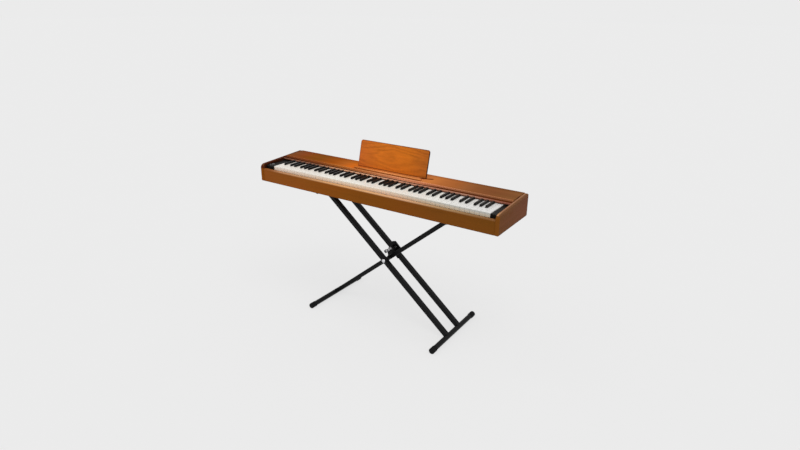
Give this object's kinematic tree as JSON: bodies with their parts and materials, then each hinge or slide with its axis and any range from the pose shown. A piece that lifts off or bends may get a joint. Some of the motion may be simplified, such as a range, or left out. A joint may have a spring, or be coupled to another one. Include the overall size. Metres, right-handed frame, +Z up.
{
  "type": "digital piano",
  "caption": "Digital piano in a slim wooden case with cheeks, a lid with a music rest, and a full keyboard, standing on a folding double-tube X stand.",
  "frame": {"origin": "on the floor, under the middle of the case's length and the middle of the stand's feet", "axes": "+X along the keyboard to the treble end, +Y away from the player, +Z up"},
  "size_m": [1.3474, 0.424, 0.8837],
  "materials": {
    "case_wood": "satin red-brown wood grain",
    "lid_wood": "satin orange-brown wood grain",
    "cheek_wood": "satin dark brown wood grain",
    "white_key": "satin ivory white",
    "black_key": "satin black",
    "black_plastic": "matt black",
    "black_paint": "satin black paint",
    "rubber": "matt black",
    "steel": "plated",
    "felt": "dark red felt",
    "circuit_board": "green lacquer",
    "grey_plastic": "matt dark grey"
  },
  "bodies": {
    "base": {"right_foot_cap_front": "rubber", "right_foot_cap_rear": "rubber"},
    "double_arm": {"front_leg_tube": "black_paint", "rear_leg_tube": "black_paint", "right_foot_tube": "black_paint", "left_support_tube": "black_paint", "left_sleeve_front": "rubber", "left_sleeve_rear": "rubber", "pivot_bolt": "steel", "pivot_spacer": "black_paint", "lock_plate": "black_paint"},
    "single_arm": {"single_leg_tube": "black_paint", "left_foot_tube": "black_paint", "left_foot_cap_front": "rubber", "left_foot_cap_rear": "rubber", "right_support_tube": "black_paint", "lock_housing": "black_plastic"},
    "pin": {"lock_pin": "steel", "lock_spring": "steel"},
    "sleeves": {"right_sleeve_front": "rubber", "right_sleeve_rear": "rubber"},
    "piano": {"bottom_board": "cheek_wood", "left_cheek": "cheek_wood", "right_cheek": "cheek_wood", "front_panel": "case_wood", "back_panel": "cheek_wood", "lid": "lid_wood", "control_strip": "case_wood", "name_felt": "felt", "left_key_block": "black_plastic", "right_key_block": "black_plastic", "key_frame": "black_plastic", "main_board": "circuit_board", "left_speaker": "black_plastic", "right_speaker": "black_plastic", "music_ledge": "lid_wood", "socket_plate": "black_plastic"},
    "rest": {"music_rest": "lid_wood"},
    "button": {"power_button": "grey_plastic"},
    "knob": {"volume_knob": "grey_plastic"},
    "key_c4": {"key_c4": "white_key"},
    "key_c_sharp4": {"key_c_sharp4": "black_key"},
    "key_d4": {"key_d4": "white_key"},
    "key_d_sharp4": {"key_d_sharp4": "black_key"},
    "key_e4": {"key_e4": "white_key"},
    "key_f4": {"key_f4": "white_key"},
    "key_f_sharp4": {"key_f_sharp4": "black_key"},
    "key_g4": {"key_g4": "white_key"},
    "key_g_sharp4": {"key_g_sharp4": "black_key"},
    "key_a4": {"key_a4": "white_key"},
    "key_a_sharp4": {"key_a_sharp4": "black_key"},
    "key_b4": {"key_b4": "white_key"},
    "white_keys_a0_to_b1": {"white_keys_a0_to_b1": "white_key"},
    "black_keys_a0_to_b1": {"black_keys_a0_to_b1": "black_key"},
    "white_keys_c2_to_b3": {"white_keys_c2_to_b3": "white_key"},
    "black_keys_c2_to_b3": {"black_keys_c2_to_b3": "black_key"},
    "white_keys_c5_to_b6": {"white_keys_c5_to_b6": "white_key"},
    "black_keys_c5_to_b6": {"black_keys_c5_to_b6": "black_key"},
    "white_keys_c7_to_c8": {"white_keys_c7_to_c8": "white_key"},
    "black_keys_c7_to_c8": {"black_keys_c7_to_c8": "black_key"}
  },
  "joints": [
    {"name": "right_foot_roll", "type": "hinge", "parent": "base", "child": "double_arm", "pos_m": [0.39549, 0, 0.0145], "axis": [0, 1, 0], "range_deg": [-10, 47]},
    {"name": "stand_fold", "type": "hinge", "parent": "double_arm", "child": "single_arm", "pos_m": [0.0226, 0, 0.32463], "axis": [0, -1, 0], "range_deg": [-18, 92]},
    {"name": "right_sleeve_turn", "type": "hinge", "parent": "single_arm", "child": "sleeves", "pos_m": [0.39549, 0, 0.63476], "axis": [0, 1, 0], "range_deg": [-10, 47]},
    {"name": "piano_lift", "type": "slide", "parent": "sleeves", "child": "piano", "axis": [0, 0, 1], "range_m": [0, 0.15]},
    {"name": "lock_pull", "type": "slide", "parent": "single_arm", "child": "pin", "axis": [0, -1, 0], "range_m": [0, 0.006], "stiffness_N_per_m": 400, "springref_m": -0.006, "deforming": ["lock_spring"]},
    {"name": "rest_lift", "type": "slide", "parent": "piano", "child": "rest", "axis": [0, 0.2419, 0.9703], "range_m": [0, 0.03]},
    {"name": "power_press", "type": "slide", "parent": "piano", "child": "button", "axis": [0, 0, -1], "range_m": [0, 0.0015], "stiffness_N_per_m": 500, "springref_m": -0.001},
    {"name": "volume_turn", "type": "hinge", "parent": "piano", "child": "knob", "pos_m": [-0.62215, -0.147, 0.73156], "axis": [0, 0, 1], "range_deg": [-150, 150]},
    {"name": "key_c4_press", "type": "hinge", "parent": "piano", "child": "key_c4", "pos_m": [0, 0.051, 0.70256], "axis": [1, 0, 0], "range_deg": [0, 2.6], "stiffness_Nm_per_rad": 1.1, "springref_deg": -9.17},
    {"name": "key_c_sharp4_press", "type": "hinge", "parent": "piano", "child": "key_c_sharp4", "pos_m": [0, 0.0645, 0.72006], "axis": [1, 0, 0], "range_deg": [0, 2.6], "stiffness_Nm_per_rad": 0.6, "springref_deg": -9.17},
    {"name": "key_d4_press", "type": "hinge", "parent": "piano", "child": "key_d4", "pos_m": [0, 0.051, 0.70256], "axis": [1, 0, 0], "range_deg": [0, 2.6], "stiffness_Nm_per_rad": 1.1, "springref_deg": -9.17},
    {"name": "key_d_sharp4_press", "type": "hinge", "parent": "piano", "child": "key_d_sharp4", "pos_m": [0, 0.0645, 0.72006], "axis": [1, 0, 0], "range_deg": [0, 2.6], "stiffness_Nm_per_rad": 0.6, "springref_deg": -9.17},
    {"name": "key_e4_press", "type": "hinge", "parent": "piano", "child": "key_e4", "pos_m": [0, 0.051, 0.70256], "axis": [1, 0, 0], "range_deg": [0, 2.6], "stiffness_Nm_per_rad": 1.1, "springref_deg": -9.17},
    {"name": "key_f4_press", "type": "hinge", "parent": "piano", "child": "key_f4", "pos_m": [0, 0.051, 0.70256], "axis": [1, 0, 0], "range_deg": [0, 2.6], "stiffness_Nm_per_rad": 1.1, "springref_deg": -9.17},
    {"name": "key_f_sharp4_press", "type": "hinge", "parent": "piano", "child": "key_f_sharp4", "pos_m": [0, 0.0645, 0.72006], "axis": [1, 0, 0], "range_deg": [0, 2.6], "stiffness_Nm_per_rad": 0.6, "springref_deg": -9.17},
    {"name": "key_g4_press", "type": "hinge", "parent": "piano", "child": "key_g4", "pos_m": [0, 0.051, 0.70256], "axis": [1, 0, 0], "range_deg": [0, 2.6], "stiffness_Nm_per_rad": 1.1, "springref_deg": -9.17},
    {"name": "key_g_sharp4_press", "type": "hinge", "parent": "piano", "child": "key_g_sharp4", "pos_m": [0, 0.0645, 0.72006], "axis": [1, 0, 0], "range_deg": [0, 2.6], "stiffness_Nm_per_rad": 0.6, "springref_deg": -9.17},
    {"name": "key_a4_press", "type": "hinge", "parent": "piano", "child": "key_a4", "pos_m": [0, 0.051, 0.70256], "axis": [1, 0, 0], "range_deg": [0, 2.6], "stiffness_Nm_per_rad": 1.1, "springref_deg": -9.17},
    {"name": "key_a_sharp4_press", "type": "hinge", "parent": "piano", "child": "key_a_sharp4", "pos_m": [0, 0.0645, 0.72006], "axis": [1, 0, 0], "range_deg": [0, 2.6], "stiffness_Nm_per_rad": 0.6, "springref_deg": -9.17},
    {"name": "key_b4_press", "type": "hinge", "parent": "piano", "child": "key_b4", "pos_m": [0, 0.051, 0.70256], "axis": [1, 0, 0], "range_deg": [0, 2.6], "stiffness_Nm_per_rad": 1.1, "springref_deg": -9.17},
    {"name": "white_keys_a0_to_b1_press", "type": "hinge", "parent": "piano", "child": "white_keys_a0_to_b1", "pos_m": [0, 0.051, 0.70256], "axis": [1, 0, 0], "range_deg": [0, 2.6], "stiffness_Nm_per_rad": 9.9, "springref_deg": -9.17},
    {"name": "black_keys_a0_to_b1_press", "type": "hinge", "parent": "piano", "child": "black_keys_a0_to_b1", "pos_m": [0, 0.0645, 0.72006], "axis": [1, 0, 0], "range_deg": [0, 2.6], "stiffness_Nm_per_rad": 3.6, "springref_deg": -9.17},
    {"name": "white_keys_c2_to_b3_press", "type": "hinge", "parent": "piano", "child": "white_keys_c2_to_b3", "pos_m": [0, 0.051, 0.70256], "axis": [1, 0, 0], "range_deg": [0, 2.6], "stiffness_Nm_per_rad": 15.4, "springref_deg": -9.17},
    {"name": "black_keys_c2_to_b3_press", "type": "hinge", "parent": "piano", "child": "black_keys_c2_to_b3", "pos_m": [0, 0.0645, 0.72006], "axis": [1, 0, 0], "range_deg": [0, 2.6], "stiffness_Nm_per_rad": 6, "springref_deg": -9.17},
    {"name": "white_keys_c5_to_b6_press", "type": "hinge", "parent": "piano", "child": "white_keys_c5_to_b6", "pos_m": [0, 0.051, 0.70256], "axis": [1, 0, 0], "range_deg": [0, 2.6], "stiffness_Nm_per_rad": 15.4, "springref_deg": -9.17},
    {"name": "black_keys_c5_to_b6_press", "type": "hinge", "parent": "piano", "child": "black_keys_c5_to_b6", "pos_m": [0, 0.0645, 0.72006], "axis": [1, 0, 0], "range_deg": [0, 2.6], "stiffness_Nm_per_rad": 6, "springref_deg": -9.17},
    {"name": "white_keys_c7_to_c8_press", "type": "hinge", "parent": "piano", "child": "white_keys_c7_to_c8", "pos_m": [0, 0.051, 0.70256], "axis": [1, 0, 0], "range_deg": [0, 2.6], "stiffness_Nm_per_rad": 8.8, "springref_deg": -9.17},
    {"name": "black_keys_c7_to_c8_press", "type": "hinge", "parent": "piano", "child": "black_keys_c7_to_c8", "pos_m": [0, 0.0645, 0.72006], "axis": [1, 0, 0], "range_deg": [0, 2.6], "stiffness_Nm_per_rad": 3, "springref_deg": -9.17}
  ],
  "couplings": [
    {"joint": "right_foot_roll", "follows": "stand_fold", "ratio": 0.5},
    {"joint": "right_sleeve_turn", "follows": "stand_fold", "ratio": 0.5}
  ]
}
